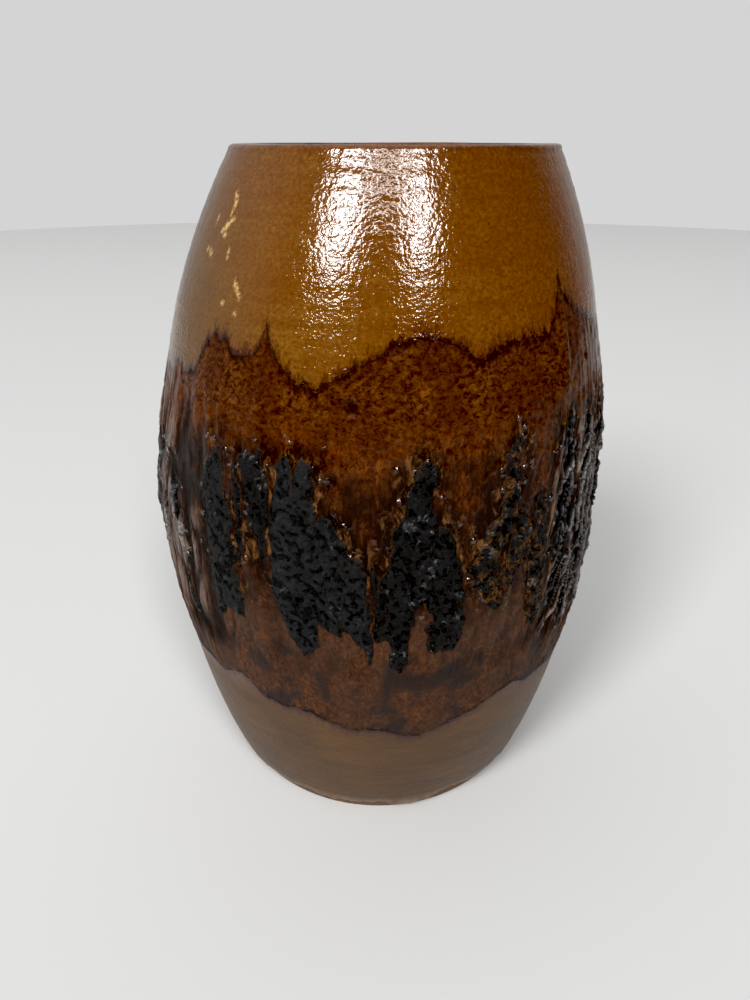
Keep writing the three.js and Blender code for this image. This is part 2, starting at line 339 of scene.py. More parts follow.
def bark(azimuth, z):
    """Ridges from about -1 in the grooves to 1 on the crests: broad to the left, and fine to the right."""
    spots = on_drum(azimuth, z, 1.6)
    drift = azimuth + 2.2 * layered_noise(spots, 9, 31)
    leftness = fade(0.35, -0.45, np.sin(np.radians(azimuth)) + 0.3 * noise(spots, 30, 34))
    long_folds = creases(on_drum(drift, z, 8.0), 5.2, 32)
    folds = np.maximum(long_folds, 0.6 * creases(on_drum(drift, z, 6.0), 2.4, 39))
    broad = 0.45 - 1.4 * folds + 0.25 * noise(on_drum(drift, z, 3.5), 1.8, 33)
    lean = drift - 0.16 * (z - 0.5 * HEIGHT)
    net = np.maximum(creases(on_drum(lean, z, 7.0), 2.8, 35), 0.85 * creases(on_drum(lean, z, 5.0), 1.6, 36))
    fine = 1.6 * net - 0.75
    return broad * leftness + fine * (1 - leftness)


def crater_relief(azimuth, z):
    """Burst bubbles: shallow ragged bowls with a low lip."""
    depth = np.zeros(np.broadcast(azimuth, z).shape)
    spots = on_drum(azimuth, z)
    ragged_x = 0.7 * noise(spots, 2.0, 37)
    ragged_z = 0.7 * noise(spots, 2.0, 38)
    for at, share, radius, deep in ALL_CRATERS:
        across = turn_between(azimuth, at) * DEGREE
        distance = np.hypot(across + ragged_x, z - share * HEIGHT + ragged_z) / radius
        bowl = -deep * np.exp(-(distance ** 4) * 1.8)
        lip = 0.3 * deep * np.exp(-((distance - 1.25) ** 2) * 9)
        depth += bowl + lip
    return depth


def strewn_craters():
    """The front's craters, and others round the rest of the wall."""
    chance = np.random.default_rng(5)
    others = [
        (chance.uniform(52, 308), chance.uniform(0.5, 0.77),
         chance.uniform(1.0, 2.2), chance.uniform(0.15, 0.3))
        for _ in range(CRATER_COPIES)
    ]
    return CRATERS + others


ALL_CRATERS = strewn_craters()


def side_bulge(azimuth, z):
    """The crust stands out furthest on the left side, a little above the middle."""
    return 1.1 * np.exp(-((turn_between(azimuth, -82) / 20) ** 2) - ((z / HEIGHT - 0.52) / 0.09) ** 2)


def band_thickness(inward):
    return BAND_EDGE + (BAND_BODY - BAND_EDGE) * fade(0, BAND_SLOPE, inward)


def band_relief(azimuth, z, lower, upper):
    """How far the iron glaze stands off the ochre."""
    inward = np.minimum(z - lower, upper - z)
    rise = fade(-0.2, 4.0, inward)
    spots = on_drum(azimuth, z)
    ridges = 0.8 * bark_strength(azimuth, z) * bark(azimuth, z)
    mottle = 0.13 * layered_noise(on_drum(azimuth, z, 1.5), 2.2, 41) + 0.05 * noise(spots, 1.1, 42)
    relief = (band_thickness(inward) + ridges + mottle + crater_relief(azimuth, z)) * rise
    dive = BAND_DIVE * fade(1.8, 0.0, inward)
    return np.maximum(relief, 0.02) - dive + side_bulge(azimuth, z) * rise + ochre_relief(azimuth, z)


# ---- Black runs ----

def run_number(node):
    return int(node.rsplit("_", 1)[1])


def hidden_strokes(node, chance):
    """Strokes for a run that the front doesn't show, filling its CAD solid's place."""
    low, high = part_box(node)
    middle = (low + high) / 2
    azimuth = math.degrees(math.atan2(middle.x, -middle.y))
    top, bottom = high.z / MM / HEIGHT, low.z / MM / HEIGHT
    span = top - bottom
    width = 4.0 + chance.uniform(-0.7, 0.9)
    waist = bottom + span * chance.uniform(0.4, 0.6)
    sway = chance.uniform(-2.5, 2.5)
    return [
        (azimuth + sway, top, 1.3, azimuth, waist, width),
        (azimuth, waist, width, azimuth - sway / 2, bottom + 0.15 * span, width * 0.6),
        (azimuth - sway, waist, 0.6 * width,
         azimuth - 1.4 * sway, bottom - 0.1 * span * chance.random(), 0.8),
        (azimuth - 2 * sway, top - 0.1 * span, 1.0, azimuth - sway, waist, 0.7 * width),
    ]


def stroke_depth(strokes, azimuth, z):
    """How deep inside the strokes each point lies, in mm. It is negative outside them."""
    depth = np.full(np.broadcast(azimuth, z).shape, -99.0)
    for head_azimuth, head_share, head_width, tail_azimuth, tail_share, tail_width in strokes:
        x = turn_between(azimuth, head_azimuth) * DEGREE
        y = z - head_share * HEIGHT
        tail_x = turn_between(tail_azimuth, head_azimuth) * DEGREE
        tail_y = (tail_share - head_share) * HEIGHT
        along = np.clip((x * tail_x + y * tail_y) / (tail_x ** 2 + tail_y ** 2), 0, 1)
        width = head_width + (tail_width - head_width) * along
        depth = np.maximum(depth, width - np.hypot(x - tail_x * along, y - tail_y * along))
    return depth


def union_depth(azimuth, z):
    """How deep inside the nearest black run each point lies, and which run that is. The edges are ragged."""
    drawn = on_drum(azimuth, z, 1.9)
    sideways = (1.1 * noise(drawn, 3.6, 51) + 0.8 * noise(drawn, 1.5, 52)) / DEGREE
    upwards = 2.4 * noise(drawn, 3.1, 53) + 1.2 * noise(drawn, 1.3, 54)
    nibble = 0.45 * noise(drawn, 1.0, 55)
    depth = np.full(np.broadcast(azimuth, z).shape, -99.0)
    owner = np.zeros(depth.shape, int)
    for number, strokes in enumerate(ALL_STROKES.values()):
        own = stroke_depth(strokes, azimuth + sideways, z + upwards) + nibble
        owner = np.where(own > depth, number, owner)
        depth = np.maximum(depth, own)
    return depth, owner


def crust_pits(azimuth, z):
    """1 in the worm-shaped pits that the crust is full of, and 0 between them."""
    slanted = on_drum(azimuth + 0.25 * z, z, 1.25)
    wander = noise(slanted, 1.05, 61) + 0.6 * noise(slanted, 0.7, 62)
    return fade(0.0, -0.5, wander)


def drawn_share(azimuth):
    """How far the crust is bark instead of pits: wholly at the sides, and not at all in front and behind."""
    away = np.abs(turn_between(azimuth, 0))
    return fade(38, 48, away) * fade(118, 104, away)


def crust_relief(azimuth, z, depth):
    """Out from the iron glaze: a plateau with rounded sides, lumps, and many pits or ridges."""
    drawn = drawn_share(azimuth)
    plateau = (0.95 - 0.45 * drawn) * (1 - np.exp(-np.maximum(depth, 0) / 0.7))
    spots = on_drum(azimuth, z, 1.35)
    lumps = 0.4 * layered_noise(spots, 3.4, 63) + 0.16 * noise(spots, 0.8, 64)
    pits = -0.42 * crust_pits(azimuth, z)
    inside = fade(0, 0.9, depth)
    sunk = 0.9 * np.minimum(depth, 0)
    return plateau + (lumps + pits * (1 - drawn) + 0.5 * bark(azimuth, z) * drawn) * inside + sunk


# ---- Meshes ----

def mesh_object(name, points, quads, triangles=None, values=None, smooth_quads=None):
    """A mesh from points in mm, with per-point values for its material. Its later quads can be left flat."""
    mesh = bpy.data.meshes.new(name)
    corners = [quads.reshape(-1)]
    sizes = [np.full(len(quads), 4)]
    if triangles is not None:
        corners.append(triangles.reshape(-1))
        sizes.append(np.full(len(triangles), 3))
    corners = np.concatenate(corners)
    sizes = np.concatenate(sizes)
    mesh.vertices.add(len(points))
    mesh.vertices.foreach_set("co", (points * MM).astype(np.float32).reshape(-1))
    mesh.loops.add(len(corners))
    mesh.loops.foreach_set("vertex_index", corners.astype(np.int32))
    mesh.polygons.add(len(sizes))
    mesh.polygons.foreach_set("loop_start", (np.cumsum(sizes) - sizes).astype(np.int32))
    mesh.polygons.foreach_set("use_smooth", np.arange(len(sizes)) < (smooth_quads or len(sizes)))
    mesh.update(calc_edges=True)
    mesh.validate()
    for key, value in (values or {}).items():
        attribute = mesh.attributes.new(key, "FLOAT", "POINT")
        attribute.data.foreach_set("value", value.astype(np.float32).reshape(-1))
    piece = bpy.data.objects.new(name, mesh)
    bpy.context.scene.collection.objects.link(piece)
    return piece


def ring_quads(rows, around, closed):
    """Quads between rows of points that each go once round."""
    row = np.arange(rows if closed else rows - 1)[:, None]
    column = np.arange(around)[None, :]
    above = (row + 1) % rows
    beside = (column + 1) % around
    quad = np.stack([
        row * around + column, row * around + beside, above * around + beside, above * around + column,
    ], -1)
    return quad.reshape(-1, 4)


def turned_object(name, points, values=None, first_pole=None, last_pole=None, shown=None):
    """A closed body from points[row, round]. It closes on itself, or on a pole at each end. Past the shown
    rows it isn't smoothed, so that the hidden back doesn't tilt the shading of the shown face's edge."""
    rows, around = points.shape[:2]
    closed = first_pole is None
    flat = points.reshape(-1, 3)
    quads = ring_quads(rows, around, closed)
    triangles = None
    if not closed:
        column = np.arange(around)
        beside = (column + 1) % around
        first, last = len(flat), len(flat) + 1
        start = np.stack([np.full(around, first), beside, column], -1)
        top = (rows - 1) * around
        end = np.stack([top + column, top + beside, np.full(around, last)], -1)
        triangles = np.concatenate([start, end])
        flat = np.concatenate([flat, [first_pole, last_pole]])
        values = {k: np.append(v.reshape(-1), [v[0].mean(), v[-1].mean()]) for k, v in (values or {}).items()}
    smooth_quads = None if shown is None else (shown - 1) * around
    return mesh_object(name, flat, quads, triangles, values, smooth_quads)


def largest_patches(keep, least):
    """Drops patches of fewer cells than least, and cells that touch only at a corner."""
    for _ in range(6):
        a, b, c, d = keep[:-1, :-1], keep[:-1, 1:], keep[1:, :-1], keep[1:, 1:]
        crossed = (a & d & ~b & ~c) | (b & c & ~a & ~d)
        if not crossed.any():
            break
        keep[:-1, :-1] |= crossed
        keep[:-1, 1:] |= crossed
    label = np.zeros(keep.shape, int)
    found = 0
    for start in zip(*np.nonzero(keep)):
        if label[start]:
            continue
        found += 1
        label[start] = found
        front = [start]
        patch = [start]
        while front:
            row, column = front.pop()
            for near in ((row - 1, column), (row + 1, column), (row, column - 1), (row, column + 1)):
                inside = 0 <= near[0] < keep.shape[0] and 0 <= near[1] < keep.shape[1]
                if inside and keep[near] and not label[near]:
                    label[near] = found
                    front.append(near)
                    patch.append(near)
        if len(patch) < least:
            for cell in patch:
                keep[cell] = False
    return keep


def slab_object(name, outer, inner, keep, values):
    """A closed body between two grids of points, over the cells to keep."""
    rows, columns = outer.shape[:2]
    index = np.arange(rows * columns).reshape(rows, columns)
    corners = np.stack([index[:-1, :-1], index[:-1, 1:], index[1:, 1:], index[1:, :-1]], -1)
    front = corners[keep]
    back = front[:, ::-1] + rows * columns
    edges = np.concatenate([front[:, [k, (k + 1) % 4]] for k in range(4)])
    ways = {}
    for a, b in edges.tolist():
        ways[(a, b)] = (b, a) not in ways
        if not ways[(a, b)]:
            ways[(b, a)] = False
    border = np.array([way for way, alone in ways.items() if alone])
    offset = rows * columns
    sides = np.stack([border[:, 1], border[:, 0], border[:, 0] + offset, border[:, 1] + offset], -1)
    quads = np.concatenate([front, back, sides])
    used, renumbered = np.unique(quads, return_inverse=True)
    points = np.concatenate([outer.reshape(-1, 3), inner.reshape(-1, 3)])[used]
    values = {k: np.concatenate([v.reshape(-1), v.reshape(-1)])[used] for k, v in values.items()}
    return mesh_object(name, points, renumbered.reshape(-1, 4), values=values)


# ---- Profiles ----

def arc_rows(centre_radius, centre_z, radius, start, end, steps):
    """Points (radius, z) round an arc of the profile, from angle start to end in degrees."""
    angle = np.radians(np.linspace(start, end, steps))
    return [(centre_radius + radius * math.cos(a), centre_z + radius * math.sin(a)) for a in angle]


def wall_rows(radius_at, start, end, steps):
    """Points (radius, z) up or down a wall."""
    return [(float(radius_at(np.array(z))), float(z)) for z in np.linspace(start, end, steps)]


def profile_grid(rows):
    """A profile's rows as two columns, radius and z, and the azimuths round."""
    radius, z = np.array(rows).T
    azimuth = np.linspace(-180, 180, AROUND, endpoint=False)[None, :]
    return radius[:, None], z[:, None], azimuth


def clay_rows(foot):
    """The clay's profile, from the middle of its underside over the rim to the middle of its floor."""
    recess = FOOT_RECESS_RADIUS
    top = HEIGHT - COAT
    rim_z = top - RIM_ROUND
    bend = recess - RECESS_ROUND
    rows = [(r, FOOT_RECESS_DEPTH) for r in np.linspace(2, bend, 30)]
    rows += arc_rows(bend, FOOT_RECESS_DEPTH - RECESS_ROUND, RECESS_ROUND, 90, 20, 5)[1:]
    rows += [(recess + 1.4, 0.25)]
    rows += [(r, 0.0) for r in np.linspace(recess + 2.2, foot - FOOT_BEVEL - 0.5, 10)]
    rows += [(foot - FOOT_BEVEL, 0.06), (foot - 0.2 * FOOT_BEVEL, 0.6 * FOOT_BEVEL)]
    rows += wall_rows(lambda z: wall_radius(z) - COAT, 2 * FOOT_BEVEL, 6.5, 12)
    rows += wall_rows(lambda z: wall_radius(z) - COAT, 8, rim_z, 26)
    outer = float(wall_radius(np.array(rim_z))) - COAT - RIM_ROUND
    inner = float(inside_radius(np.array(rim_z))) + COAT + RIM_ROUND
    rows += arc_rows(outer, rim_z, RIM_ROUND, 20, 90, 4) + arc_rows(inner, rim_z, RIM_ROUND, 90, 160, 4)
    floor_top = FLOOR_HEIGHT + FLOOR_FILLET
    rows += wall_rows(lambda z: inside_radius(z) + COAT, rim_z, floor_top, 26)
    fillet = float(inside_radius(np.array(floor_top))) - FLOOR_FILLET
    rows += arc_rows(fillet, floor_top, FLOOR_FILLET + COAT, 0, -90, 9)[1:]
    rows += [(r, FLOOR_HEIGHT - COAT) for r in np.linspace(fillet - 3, 2, 6)]
    return rows


def clay_piece():
    foot = FOOT_RADIUS - COAT
    recess = FOOT_RECESS_RADIUS
    radius, z, azimuth = profile_grid(clay_rows(foot))
    spots = on_drum(azimuth, z + radius)
    underside = fade(4.5, 2.5, z) * fade(foot + 1, foot - 1, radius)
    groove_shade = 0.09 * np.sin(2 * np.pi * (radius / TURNING_PITCH + azimuth / 360))
    in_recess = fade(recess + 1, recess - 2, radius) * fade(5, 3, z)
    at_edge = fade(1.2, 0.0, np.abs(z - 0.9)) * fade(recess + 4, foot - 2, radius)
    chips = 0.35 * fade(0.45, 0.8, layered_noise(spots, 7, 72)) * at_edge
    grit = 0.05 * noise(spots, 0.8, 71) * underside
    lifted = z + groove_shade * in_recess + 0.4 * grit * in_recess
    drawn = radius - chips + grit * fade(recess, foot, radius)
    points = placed(azimuth, np.maximum(lifted, 0), drawn)
    first = [0, 0, FOOT_RECESS_DEPTH]
    return turned_object("vase_stoneware_body", points, {}, first, [0, 0, FLOOR_HEIGHT - COAT])


def liner_piece():
    top = HEIGHT - LIP_DEPTH - 0.2
    floor_top = FLOOR_HEIGHT + FLOOR_FILLET
    fillet = float(inside_radius(np.array(floor_top))) - FLOOR_FILLET
    rows = wall_rows(inside_radius, top, floor_top, 86)
    rows += arc_rows(fillet, floor_top, FLOOR_FILLET, 0, -90, 13)[1:]
    rows += [(r, FLOOR_HEIGHT) for r in np.linspace(fillet - 0.8, 1.2, 28)]
    radius, z, azimuth = profile_grid(rows)
    spots = on_drum(azimuth, z)
    wall = fade(FLOOR_HEIGHT + 1, floor_top, z)
    climb = azimuth / 360 * INSIDE_PITCH
    rings = 0.32 * np.sin(2 * np.pi * (z + climb) / INSIDE_PITCH) * wall
    spiral = 0.35 * np.sin(2 * np.pi * (radius - climb) / INSIDE_PITCH) * (1 - wall) * fade(0, 8, radius)
    bumps = 0.08 * noise(spots, 2.4, 82) + 0.05 * noise(on_drum(azimuth, z + radius), 1.4, 83)
    face = placed(azimuth, z + (spiral + bumps) * (1 - wall), radius + (rings + bumps) * wall)
    back_rows = [125, 97, 93, 89, 85, 72, 58, 44, 30, 16, 8, 0]  # the face's rows that the back repeats
    sunk = COAT + LINER_KEY * fade(top, top - 12, z)
    behind = placed(azimuth, z - sunk * (1 - wall), radius + sunk * wall)[back_rows]
    points = np.concatenate([behind, face])
    first = [0, 0, FLOOR_HEIGHT - COAT - LINER_KEY]
    return turned_object("vase_liner_glaze", points, {}, first, [0, 0, FLOOR_HEIGHT])


def ochre_rows():
    """The outside coat's face, with few rows under the band, and its hidden back."""
    rim_z = HEIGHT - RIM_ROUND
    outer = float(wall_radius(np.array(rim_z))) - RIM_ROUND
    inner = float(inside_radius(np.array(rim_z))) + RIM_ROUND
    rows = wall_rows(wall_radius, GLAZE_LINE, 0.31 * HEIGHT, 40)
    rows += wall_rows(wall_radius, 0.36 * HEIGHT, 0.66 * HEIGHT, 4)
    rows += wall_rows(wall_radius, 0.70 * HEIGHT, rim_z, 63)
    rows += arc_rows(outer, rim_z, RIM_ROUND, 0, 90, 6)[1:]
    rows += [((outer + inner) / 2, HEIGHT)]
    rows += arc_rows(inner, rim_z, RIM_ROUND, 90, 180, 6)
    rows += wall_rows(inside_radius, rim_z - 0.6, HEIGHT - LIP_DEPTH, 6)
    back = wall_rows(lambda z: inside_radius(z) + COAT, HEIGHT - LIP_DEPTH, rim_z, 2)
    back += wall_rows(lambda z: wall_radius(z) - COAT, rim_z, GLAZE_LINE, 6)
    return rows, back


def ochre_piece():
    rows, back = ochre_rows()
    shown = len(rows)
    radius, z, azimuth = profile_grid(rows + back)
    face = np.zeros_like(z)
    face[:shown] = 1
    inside = fade(0.2, 1.2, wall_radius(z) - radius) * face
    low_edge = face * fade(3.0, 0.0, z - GLAZE_LINE)
    waver = 0.9 * noise(on_drum(azimuth, 0 * z), 9, 91) + 0.4 * noise(on_drum(azimuth, 0 * z), 2.5, 92)
    height = z + waver * fade(6, 0, z - GLAZE_LINE)
    relief = ochre_relief(azimuth, z) * face * (1 - 0.75 * inside)
    roll = -0.55 * low_edge ** 2
    rim_swell = 0.3 * noise(on_drum(azimuth, 0 * z), 22, 93) * fade(HEIGHT - 4, HEIGHT, z)
    points = placed(azimuth, height + 0.25 * rim_swell, radius + relief + roll)
    thin = np.broadcast_to(fade(1.5, 0.1, HEIGHT - z), points.shape[:2])
    foot = np.broadcast_to(fade(5.5, 0.5, height - GLAZE_LINE), points.shape[:2])
    lower, upper = band_edges(azimuth[0])
    clear = np.broadcast_to(np.maximum(z - upper, lower - z), points.shape[:2])
    nick = fade(-0.45, 0.25, stroke_depth(NICKS, azimuth, z)) * face
    values = {"rim_thin": thin, "foot_thin": foot, "clear": clear, "nick": nick}
    return turned_object("vase_ochre_glaze", points, values)


def band_piece():
    rows, back_rows = 128, 8
    azimuth = np.linspace(-180, 180, AROUND, endpoint=False)[None, :]
    lower, upper = band_edges(azimuth[0])
    lower, upper = lower - BAND_HEM, upper + BAND_HEM
    even = np.linspace(0, 1, rows)[:, None]
    crowded = even + 0.055 * np.sin(-2 * np.pi * even)  # rows lie closer near the edges
    z = lower + (upper - lower) * crowded
    z = z + 0.25 * noise(on_drum(azimuth, z), 2.0, 43) * fade(0, 3, np.minimum(z - lower, upper - z))
    face = placed(azimuth, z, wall_radius(z) + band_relief(azimuth, z, lower, upper))
    back_share = np.linspace(1, 0, back_rows)[:, None]
    back_z = lower + (upper - lower) * back_share
    back_z = back_z + 0.15 * (1 - 2 * back_share)
    behind = placed(azimuth, back_z, wall_radius(back_z) - BAND_BACK)
    depth, _ = union_depth(azimuth, z)
    shown = {
        "inward": np.minimum(z - lower, upper - z),
        "stain": fade(-6.5, -0.3, depth) * fade(0.4, 0.49, z / HEIGHT),
        "bark": bark_strength(azimuth, z) * bark(azimuth, z),
        "pit": -crater_relief(azimuth, z),
        "sides": side_strength(azimuth, z),
        "dusk": fade(-1.8, 1.0, stroke_depth(DUSK_PATCHES, azimuth, z)),
    }
    pad = np.zeros((back_rows, AROUND))
    values = {name: np.concatenate([value, pad]) for name, value in shown.items()}
    return turned_object("vase_iron_glaze_band", np.concatenate([face, behind]), values, shown=rows)


def bed_stand(azimuth, z):
    """How far the bed that the black runs lie on stands off the ochre."""
    lower, upper = band_edges(azimuth[0])
    inward = np.minimum(z - lower, upper - z)
    bed = band_thickness(inward) + side_bulge(azimuth, z) + swell(azimuth, z)
    return bed + 0.6 * bark_strength(azimuth, z) * bark(azimuth, z)


def run_piece(node, strokes, number):
    """One black run. All the runs share one lattice, so that where two meet their crust is unbroken."""
    step = RUN_CELL / DEGREE
    ends = [stroke[:3] for stroke in strokes] + [stroke[3:] for stroke in strokes]
    sides, shares, widths = zip(*ends)
    margin = (max(widths) + RUN_MARGIN) / RUN_CELL
    columns = np.arange(int(min(sides) / step - margin), int(max(sides) / step + margin))
    low, high = min(shares) * HEIGHT / RUN_CELL, max(shares) * HEIGHT / RUN_CELL
    rows = np.arange(int(low - margin), int(high + margin))
    azimuth, z = np.meshgrid(columns * step, rows * RUN_CELL)
    depth, owner = union_depth(azimuth, z)
    near = depth > -SINK
    own = owner == number
    keep = own[:-1, :-1] & (near[:-1, :-1] | near[1:, :-1] | near[:-1, 1:] | near[1:, 1:])
    keep = largest_patches(keep, LEAST_PATCH)
    crust = crust_relief(azimuth, z, np.maximum(depth, -SINK))
    root = 0.1 + side_bulge(azimuth, z) * 0.5
    outer = placed(azimuth, z, wall_radius(z) + np.maximum(bed_stand(azimuth, z) + crust, root + 0.1))
    inner = placed(azimuth, z, wall_radius(z) + root)
    gold = 1.0 if run_number(node) in GOLD_RUNS else 0.0
    slate = 1.0 if run_number(node) in SLATE_RUNS else 0.25
    drawn, ridges = drawn_share(azimuth), bark(azimuth, z)
    values = {
        "depth": depth,
        # where painted shade blackens the pits and grooves, and where painted sheen greys the ridges' crests
        "pit": crust_pits(azimuth, z) * (1 - drawn) + fade(0.2, -0.4, ridges) * drawn,
        "crest_sheen": fade(0.1, 0.6, ridges) * drawn,
        "gold": np.full(depth.shape, gold),
        "slate": np.full(depth.shape, slate),
    }
    return slab_object(node.replace("black", "vase_black"), outer, inner, keep, values)


# ---- Materials ----

def add_node(tree, kind, out, inputs, **settings):
    """A new shader node with these settings and inputs. Gives its output of this name."""
    node = tree.nodes.new("ShaderNode" + kind)
    for name, setting in settings.items():
        setattr(node, name, setting)
    for name, value in inputs.items():
        feed(tree, node.inputs[name], value)
    return node.outputs[out]


def feed(tree, socket, value):
    """Links or sets a socket."""
    if isinstance(value, bpy.types.NodeSocket):
        tree.links.new(value, socket)
    else:
        socket.default_value = value


def span_node(tree, value, low, high, to_low=0.0, to_high=1.0, smooth=False):
    """The value carried from one range to another, and held at its ends."""
    inputs = {"Value": value, "From Min": low, "From Max": high, "To Min": to_low, "To Max": to_high}
    kind = "SMOOTHSTEP" if smooth else "LINEAR"
    return add_node(tree, "MapRange", "Result", inputs, interpolation_type=kind)


def math_node(tree, operation, a, b):
    node = tree.nodes.new("ShaderNodeMath")
    node.operation = operation
    feed(tree, node.inputs[0], a)
    feed(tree, node.inputs[1], b)
    return node.outputs["Value"]


class Paint:
    """A material's nodes, added one at a time. Sizes are in mm."""

    def __init__(self, name):
        self.material = bpy.data.materials.new(name)
        self.material.use_nodes = True
        self.tree = self.material.node_tree
        self.shader = self.tree.nodes["Principled BSDF"]
        self.place = add_node(self.tree, "TexCoord", "Object", {})

    def position(self, squash):
        return add_node(self.tree, "Mapping", "Vector", {"Vector": self.place, "Scale": squash})

    def noise(self, size, detail=2.0, rough=0.55, squash=(1, 1, 1), twist=0.0, kind="FBM"):
        inputs = {
            "Vector": self.position(squash), "Scale": 1 / (size * MM),
            "Detail": detail, "Roughness": rough, "Distortion": twist,
        }
        return add_node(self.tree, "TexNoise", "Fac", inputs, noise_type=kind)

    def cells(self, size):
        """Distance to the nearest of many random points, in cell sizes."""
        inputs = {"Vector": self.position((1, 1, 1)), "Scale": 1 / (size * MM)}
        return add_node(self.tree, "TexVoronoi", "Distance", inputs)

    def value(self, name):
        """A value that the mesh holds at each point."""
        return add_node(self.tree, "Attribute", "Fac", {}, attribute_name=name)

    def height(self):
        """The share of the vase's height."""
        return self.span(add_node(self.tree, "SeparateXYZ", "Z", {"Vector": self.place}), 0, HEIGHT * MM)

    def across(self):
        """0 at the left side and 1 at the right."""
        side = BELLY_RADIUS * MM
        return self.span(add_node(self.tree, "SeparateXYZ", "X", {"Vector": self.place}), -side, side)

    def span(self, *numbers, smooth=False):
        return span_node(self.tree, *numbers, smooth=smooth)

    def times(self, a, b):
        return math_node(self.tree, "MULTIPLY", a, b)

    def plus(self, a, b):
        return math_node(self.tree, "ADD", a, b)

    def minus(self, a, b):
        return math_node(self.tree, "SUBTRACT", a, b)

    def larger(self, a, b):
        return math_node(self.tree, "MAXIMUM", a, b)

    def blend(self, amount, a, b):
        a, b = ((*colour, 1) if isinstance(colour, tuple) else colour for colour in (a, b))
        return add_node(self.tree, "Mix", "Result", {"Factor": amount, "A": a, "B": b}, data_type="RGBA")

    def cover(self, colour, *layers):
        """The colour under layers of (amount, tint)."""
        for amount, tint in layers:
            colour = self.blend(amount, colour, tint)
        return colour

    def bumps(self, *layers):
        """Bumps of (height from 0 to 1, depth in mm), one on another."""
        below = {}
        for height, depth in layers:
            inputs = {"Strength": 1.0, "Distance": depth * MM, "Height": height, **below}
            below = {"Normal": add_node(self.tree, "Bump", "Normal", inputs)}
        return below["Normal"]

    def wet(self, amount):
        """A clear glossy skin, where the amount is over 0."""
        feed(self.tree, self.shader.inputs["Coat Weight"], amount)
        self.shader.inputs["Coat Roughness"].default_value = 0.04
        self.shader.inputs["Coat IOR"].default_value = 1.7

    def finish(self, colour, roughness, normal, ior=1.45):
        values = {"Base Color": colour, "Roughness": roughness, "Normal": normal, "Coat Normal": normal}
        for name, value in values.items():
            feed(self.tree, self.shader.inputs[name], value)
        self.shader.inputs["IOR"].default_value = ior
        return self.material


def clay_paint():
    paint = Paint("bare_stoneware")
    grain = paint.noise(0.5, 4, 0.7)
    patch = paint.noise(9, 3)
    specks = paint.span(paint.cells(2.4), 0.16, 0.08, 0, 1)
    colour = paint.cover(
        paint.blend(paint.span(patch, 0.35, 0.65), (0.15, 0.09, 0.055), (0.21, 0.13, 0.08)),
        (paint.span(grain, 0.3, 0.7, 0, 0.5), (0.1, 0.055, 0.03)),
        (specks, (0.035, 0.02, 0.012)),
    )
    normal = paint.bumps((grain, 0.12), (paint.noise(0.2, 2), 0.03))
    return paint.finish(colour, paint.span(patch, 0.3, 0.7, 0.72, 0.9), normal)


def liner_paint():
    paint = Paint("liner_glaze")
    patch = paint.noise(16, 3)
    mottle = paint.noise(1.6, 3, 0.65)
    colour = paint.blend(paint.span(patch, 0.35, 0.65), (0.1, 0.04, 0.011), (0.21, 0.1, 0.026))
    colour = paint.blend(paint.span(mottle, 0.4, 0.75, 0, 0.7), colour, (0.05, 0.018, 0.006))
    normal = paint.bumps((paint.noise(1.1, 2), 0.06), (paint.noise(0.4, 1), 0.012))
    return paint.finish(colour, paint.span(mottle, 0.3, 0.7, 0.2, 0.34), normal)


def ochre_body(paint, patch, lines, mottle, cloud):
    """Ochre freckled with brown and redder to the right, with painted shade that darkens and dulls its left
    side.
    """
    side = paint.across()
    light = paint.blend(paint.span(side, 0.35, 0.85), (0.235, 0.117, 0.02), (0.215, 0.086, 0.014))
    dark = paint.blend(paint.span(side, 0.35, 0.85), (0.132, 0.051, 0.008), (0.1, 0.03, 0.005))
    return paint.cover(
        paint.blend(paint.span(mottle, 0.7, 0.32), light, dark),
        (paint.span(cloud, 0.4, 0.7, 0, 0.35), (0.15, 0.048, 0.004)),
        (paint.span(patch, 0.4, 0.7, 0, 0.45), (0.14, 0.044, 0.004)),
        (paint.span(lines, 0.5, 0.72, 0, 0.35), (0.11, 0.034, 0.003)),
        # painted shade: darkens and dulls the ochre towards the left side
        (paint.span(side, 0.34, 0.1, 0, 0.75, smooth=True), (0.1, 0.052, 0.016)),
    )


def ochre_seam(paint, mottle):
    """Layers that darken the ochre where the iron glaze begins, in ragged streaks and then close by."""
    fringe = paint.noise(1.0, 4, 0.65, squash=(1, 1, 0.35))
    clear = paint.plus(paint.value("clear"), paint.span(fringe, 0.35, 0.65, -2.6, 2.2))
    close = paint.plus(paint.value("clear"), paint.span(mottle, 0.3, 0.7, -0.9, 0.9))
    return [
        (paint.span(clear, 2.4, -0.6, 0, 0.7, smooth=True), (0.06, 0.015, 0.003)),
        (paint.span(close, 0.8, -0.4, 0, 0.9, smooth=True), (0.026, 0.007, 0.003)),
    ]


def ochre_ends(paint, mottle, cloud):
    """Layers where the glaze is thin: brown over the rim and pale at the foot."""
    worn = paint.blend(paint.span(cloud, 0.38, 0.62), (0.065, 0.02, 0.007), (0.15, 0.055, 0.016))
    worn = paint.blend(paint.span(mottle, 0.5, 0.65, 0, 0.6), worn, (0.22, 0.1, 0.035))
    return [
        (paint.times(paint.value("rim_thin"), paint.span(mottle, 0.3, 0.6, 0.6, 1)), worn),
        (paint.times(paint.value("foot_thin"), paint.span(paint.noise(3, 3), 0.35, 0.6, 0.2, 1)),
         (0.24, 0.145, 0.075)),
    ]


